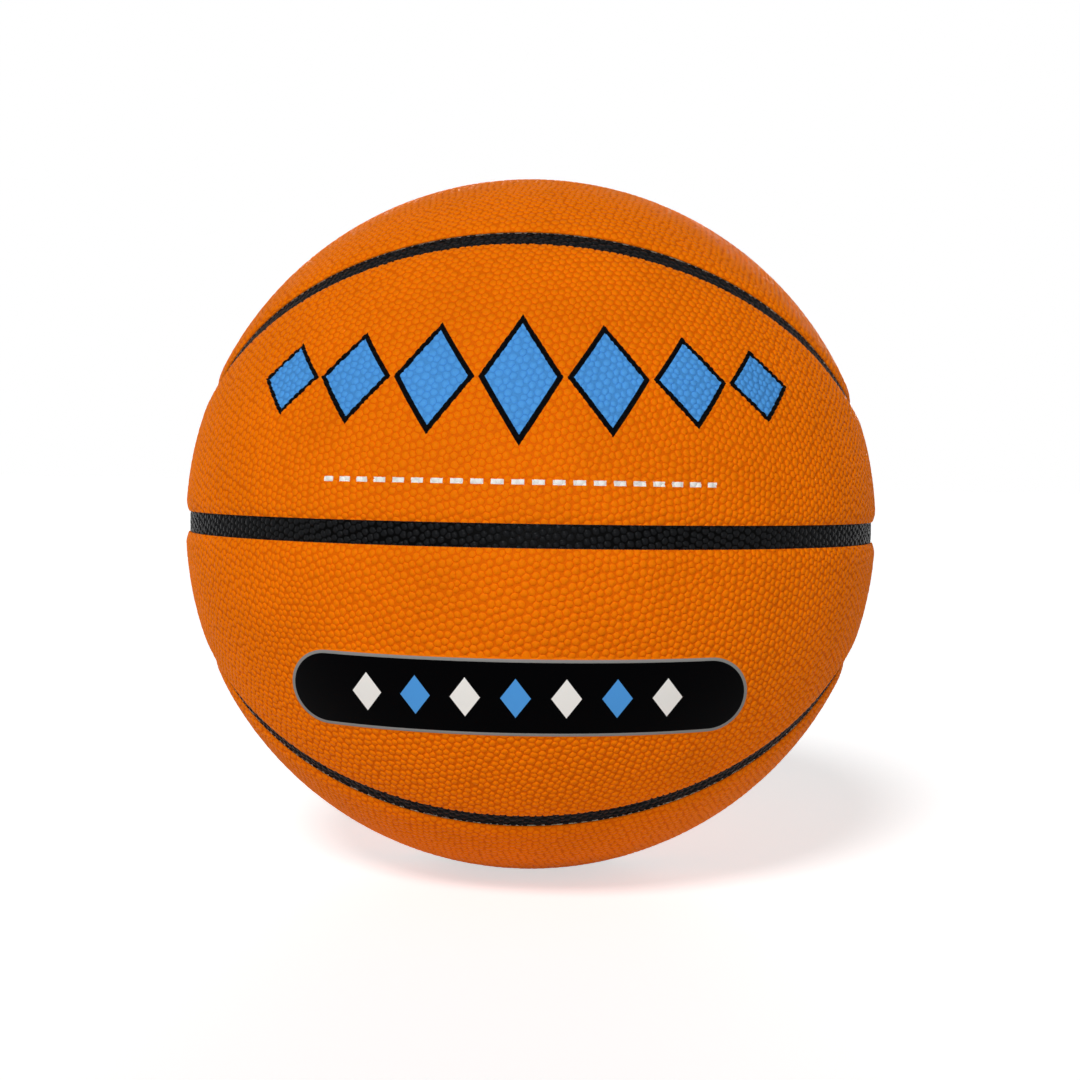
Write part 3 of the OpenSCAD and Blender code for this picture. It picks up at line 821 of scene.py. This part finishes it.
def smooth_step(value):
    """Zero below 0, one above 1, and an S between: three times the square less twice the cube."""
    value = np.clip(value, 0, 1)
    return value * value * (3 - 2 * value)


def badge_inset(x, z, shape):
    """Distance inside the badge's rim, seen along Y.
    The badge is all that lies within half its height of a level line, so the distance is that less how far
    the point is from the line."""
    straight = (shape.badge_width - shape.badge_height) / 2
    beyond = np.maximum(np.abs(x) - straight, 0)
    return shape.badge_height / 2 - np.hypot(beyond, z + shape.badge_drop)


def badge_mesh(name, shape):
    """A closed film on the face of the ball.
    Rows run across the badge at heights that follow the sine of an angle, and a row ends where the circle of
    the badge's round end does. Outer rows fall away to the rim over a small round, and the underside repeats
    the grid a film's thickness below. Each point lies on the face where X and Z put it, seen along Y."""
    columns, rows = 141, 41
    film, sunk, edge_round, edge_share = 0.24 * MM, 0.06 * MM, 0.35 * MM, 0.4
    angle = np.linspace(-math.pi / 2, math.pi / 2, rows)
    run = np.linspace(-1, 1, columns)
    run, angle = np.meshgrid(run, angle)
    straight = (shape.badge_width - shape.badge_height) / 2
    half = shape.badge_height / 2
    x = run * (straight + half * np.cos(angle))
    z = half * np.sin(angle) - shape.badge_drop
    inset = badge_inset(x, z, shape)
    fall = edge_share * edge_round * np.clip(1 - inset / edge_round, 0, 1) ** 2
    top = shape.face_radius - sunk + film - fall
    under = np.full_like(x, shape.face_radius - sunk)
    layers = [np.stack([x, -np.sqrt(r**2 - x**2 - z**2), z], -1).reshape(-1, 3) for r in (top, under)]
    number = np.arange(rows * columns).reshape(rows, columns)
    corners = [number[:-1, :-1], number[:-1, 1:], number[1:, 1:], number[1:, :-1]]
    quads = np.stack(corners, -1).reshape(-1, 4)
    front = np.concatenate([quads[:, [0, 1, 2]], quads[:, [0, 2, 3]]])
    count = rows * columns
    start, end = open_edges(front, count)
    walls = np.concatenate([
        np.stack([end, start, count + start], 1), np.stack([end, count + start, count + end], 1)])
    faces = np.concatenate([front, walls, count + front[:, ::-1]])
    points = np.concatenate(layers)
    sharp = np.concatenate([np.stack([start, end], 1), count + np.stack([start, end], 1)])
    return build_mesh(name, points, faces, np.ones(len(points)), sharp)


def add_piece(name, mesh, material, node):
    """Puts a finished mesh in the scene in place of its node."""
    piece = bpy.data.objects.new(name, mesh)
    bpy.context.scene.collection.objects.link(piece)
    mesh.materials.append(material)
    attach(piece, BODY)
    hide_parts(node)


def dress_node(node, material):
    """Gives a node of the frame its material."""
    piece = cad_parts[node]
    piece.data.materials.clear()
    piece.data.materials.append(material)


class BALL_OT_cover_panels(bpy.types.Operator):
    """Makes the eight pebbled cover panels"""

    bl_idname = "ball.cover_panels"
    bl_label = "Cover panels"

    def execute(self, context):
        shape, colours = context.scene.ball_shape, context.scene.ball_colours
        painted_shade_tint, rough, shine = (1.05, 0.88, 0.7), 0.45, 0.016
        bed_slope, bed_depth = 0.5 * MM, 0.05 * MM
        ring_width, ring_slope, ring_height = 3.2 * MM, 1.2 * MM, 0.8
        grain = pebble_grain(shape)
        # The groove colour is painted shade: the cover's colour made darker and redder
        groove = tuple(c * s for c, s in zip(colours.cover, painted_shade_tint))
        plain = embossed_leather("composite leather, embossed", colours.cover, groove, rough, shine)
        print_on = embossed_leather(
            "composite leather, embossed and screen printed", colours.cover, groove, rough, shine, colours)
        under = shape.face_radius - shape.panel_thickness
        for node, (kind, back, low) in PANELS.items():
            valve = node == VALVE_PANEL

            def fields(directions):
                return panel_fields(directions, shape, kind, back, low, valve)

            directions, height, triangles = cut_piece(grain, fields)
            inside = fields(directions)
            # Under the badge and round the valve the grain is pressed level
            if node == BADGE_PANEL:
                x, _, z = shape.face_radius * directions.T
                bed = smooth_step(1 + badge_inset(x, z, shape) / bed_slope)
                height = height + bed * (1 - bed_depth / shape.pebble_height - height)
            if valve:
                ring = smooth_step((ring_width - inside[:, -1]) / ring_slope)
                height = height + ring * (ring_height - height)
            top = panel_radius(height, inside, shape, valve)
            mesh = closed_skin(f"pebbled_{node}", (directions, height, triangles), top, under, fields)
            add_piece(mesh.name, mesh, print_on if node == PRINTED_PANEL else plain, node)
        return {"FINISHED"}


class BALL_OT_channel_strips(bpy.types.Operator):
    """Makes the nine pebbled strips in the channels"""

    bl_idname = "ball.channel_strips"
    bl_label = "Channel strips"

    def execute(self, context):
        shape, colours = context.scene.ball_shape, context.scene.ball_colours
        painted_groove_shade, rough, shine = 0.03, 0.22, 0.03
        grain = pebble_grain(shape)
        # The groove colour is painted shade: nearly black, a small share of the strip's colour
        groove = tuple(c * painted_groove_shade for c in colours.strip)
        leather = embossed_leather(
            "composite leather, embossed, dyed black", colours.strip, groove, rough, shine)
        crown = shape.face_radius - CHANNEL_DEPTH
        under = crown - shape.strip_thickness
        for node, (kind, low, left) in STRIPS.items():

            def fields(directions):
                return strip_fields(directions, shape, kind, low, left)

            directions, height, triangles = cut_piece(grain, fields)
            top = crown - (1 - height) * shape.pebble_height
            mesh = closed_skin(f"pebbled_{node}", (directions, height, triangles), top, under, fields)
            add_piece(mesh.name, mesh, leather, node)
        return {"FINISHED"}


class BALL_OT_front_badge(bpy.types.Operator):
    """Makes the printed badge on the lower front panel"""

    bl_idname = "ball.front_badge"
    bl_label = "Front badge"

    def execute(self, context):
        shape, colours = context.scene.ball_shape, context.scene.ball_colours
        mesh = badge_mesh("printed_badge", shape)
        add_piece(mesh.name, mesh, badge_film(shape, colours), "front_badge")
        return {"FINISHED"}


class BALL_OT_core(bpy.types.Operator):
    """Gives the pads, the carcass, the winding, the bladder and the valve their materials"""

    bl_idname = "ball.core"
    bl_label = "Core and valve"

    def execute(self, context):
        sponge = skived_sponge("sponge rubber, skived", linear("#DCD0BA"), linear("#A08F72"))
        for node in PANELS:
            dress_node(node.replace("panel", "pad"), sponge)
        dress_node("winding", wound_thread("nylon thread, wound", linear("#E6E0D2"), linear("#8F8672")))
        # Colour of the rubber, colour of its bloom, roughness and size of the mould's marks
        for node, name, colour, bloom, rough, mark in (
            ("carcass", "natural rubber, moulded", "#2E2B29", "#4A4643", 0.62, 0.8 * MM),
            ("bladder", "butyl rubber, moulded", "#121214", "#2B2B2D", 0.5, 1.2 * MM),
            ("valve_housing", "natural rubber, moulded black", "#1B1B1D", "#343335", 0.55, 0.4 * MM),
            ("valve_plug", "soft rubber, moulded grey", "#38383B", "#55555A", 0.5, 0.4 * MM),
        ):
            dress_node(node, moulded_rubber(name, linear(colour), linear(bloom), rough, mark))
        return {"FINISHED"}


class BALL_OT_stage(bpy.types.Operator):
    """Makes the floor, the soft studio light and the camera"""

    bl_idname = "ball.stage"
    bl_label = "Stage"

    def execute(self, context):
        scene, setting, shape = context.scene, context.scene.ball_stage, context.scene.ball_shape
        self.lay_floor(scene, shape)
        self.hang_lamps(scene, setting)
        self.set_camera(scene, setting, shape)
        scene.view_settings.view_transform = "Standard"
        return {"FINISHED"}

    def lay_floor(self, scene, shape):
        """A wide white sheet under the ball. To the camera it is bright enough to be white in full light."""
        reach, gap, white, glow_share = 30.0, 0.05 * MM, 0.86, 0.6
        level = -shape.face_radius - gap
        corners = ((-reach, -reach), (reach, -reach), (reach, reach), (-reach, reach))
        mesh = bpy.data.meshes.new("studio_floor")
        mesh.from_pydata([(x, y, level) for x, y in corners], [], [(0, 1, 2, 3)])
        material, tree = fresh_material("paper, matt white")
        lift = put(tree, "MapRange", [seen_directly(tree), 0, 1, 0, glow_share])[0]
        paper = put(tree, "BsdfDiffuse", {"Color": (white, white, white, 1)})
        glow = put(tree, "Emission", {"Color": (1, 1, 1, 1), "Strength": lift})
        sheet = put(tree, "AddShader", [paper[0], glow[0]])
        put(tree, "OutputMaterial", {"Surface": sheet[0]})
        mesh.materials.append(material)
        floor = bpy.data.objects.new("studio_floor", mesh)
        scene.collection.objects.link(floor)

    def hang_lamps(self, scene, setting):
        """A soft key lamp high in front, two small lamps low in front, two more behind, and a white surround.
        Azimuth, elevation and spread are in degrees. The camera and mirror-like surfaces see the surround at
        full white, and it lights the ball only a little."""
        for name, strength, azimuth, elevation, spread in (
            ("key_lamp", setting.key, -16.0, 40.0, 14.0),
            ("left_lamp", setting.left, -4.0, 4.0, 10.0),
            ("right_lamp", setting.right, 8.0, 2.0, 10.0),
            ("back_left_lamp", setting.back, -172.0, 10.0, 20.0),
            ("back_right_lamp", setting.back, 172.0, 10.0, 20.0),
        ):
            lamp = bpy.data.lights.new(name, "SUN")
            lamp.energy = strength
            lamp.angle = math.radians(spread)
            lamp_object = bpy.data.objects.new(name, lamp)
            a, e = math.radians(azimuth), math.radians(elevation)
            towards = Vector((math.sin(a) * math.cos(e), -math.cos(a) * math.cos(e), math.sin(e)))
            lamp_object.rotation_euler = towards.to_track_quat("Z", "Y").to_euler()
            scene.collection.objects.link(lamp_object)
        world = scene.world or bpy.data.worlds.new("studio")
        scene.world = world
        world.use_nodes = True
        world.node_tree.nodes.clear()
        tree = world.node_tree
        strength = put(tree, "MapRange", [seen_directly(tree), 0, 1, setting.surround, 1])[0]
        white = put(tree, "Background", {"Color": (1, 1, 1, 1), "Strength": strength})
        put(tree, "OutputWorld", {"Surface": white[0]})

    def set_camera(self, scene, setting, shape):
        """The photograph's camera, level and facing a ball that is turned by yaw, pitch and roll.
        The ball stays, so the camera is turned the other way about its centre."""
        turn = (Matrix.Rotation(setting.roll, 3, "Y") @ Matrix.Rotation(setting.pitch, 3, "X")
                @ Matrix.Rotation(setting.yaw, 3, "Z"))
        back = turn.transposed()
        ahead = math.cos(setting.aim_right) * math.cos(setting.aim_up)
        forward = Vector((math.sin(setting.aim_right), ahead, math.sin(setting.aim_up))).normalized()
        right = forward.cross(Vector((0, 0, 1))).normalized()
        up = right.cross(forward)
        pose = (back @ Matrix((right, up, -forward)).transposed()).to_4x4()
        pose.translation = back @ Vector((0, -setting.distance * shape.face_radius, 0))
        lens = bpy.data.cameras.new("camera")
        lens.sensor_width = 36
        lens.lens = lens.sensor_width / 2 / setting.half_frame
        lens.clip_start, lens.clip_end = 0.01, 100
        camera = bpy.data.objects.new("camera", lens)
        camera.matrix_world = pose
        scene.collection.objects.link(camera)
        scene.camera = camera


class BALL_PT_build(bpy.types.Panel):
    """Lists the pieces of the ball and their settings"""

    bl_idname = "BALL_PT_build"
    bl_label = "Ball"
    bl_space_type = "VIEW_3D"
    bl_region_type = "UI"
    bl_category = "Ball"

    def draw(self, context):
        for operator in OPERATORS:
            self.layout.operator(operator.bl_idname)
        for settings in (context.scene.ball_shape, context.scene.ball_colours, context.scene.ball_stage):
            box = self.layout.box()
            for name in settings.__annotations__:
                box.prop(settings, name)


OPERATORS = (BALL_OT_cover_panels, BALL_OT_channel_strips, BALL_OT_front_badge, BALL_OT_core, BALL_OT_stage)
CLASSES = (BallShape, BallColours, BallStage, *OPERATORS, BALL_PT_build)


def register():
    for item in CLASSES:
        bpy.utils.register_class(item)
    bpy.types.Scene.ball_shape = PointerProperty(type=BallShape)
    bpy.types.Scene.ball_colours = PointerProperty(type=BallColours)
    bpy.types.Scene.ball_stage = PointerProperty(type=BallStage)


def unregister():
    del bpy.types.Scene.ball_shape, bpy.types.Scene.ball_colours, bpy.types.Scene.ball_stage
    for item in reversed(CLASSES):
        bpy.utils.unregister_class(item)


def main():
    """Builds everything in order."""
    register()
    bpy.ops.ball.cover_panels()
    bpy.ops.ball.channel_strips()
    bpy.ops.ball.front_badge()
    bpy.ops.ball.core()
    bpy.ops.ball.stage()


if __name__ == "__main__":
    main()
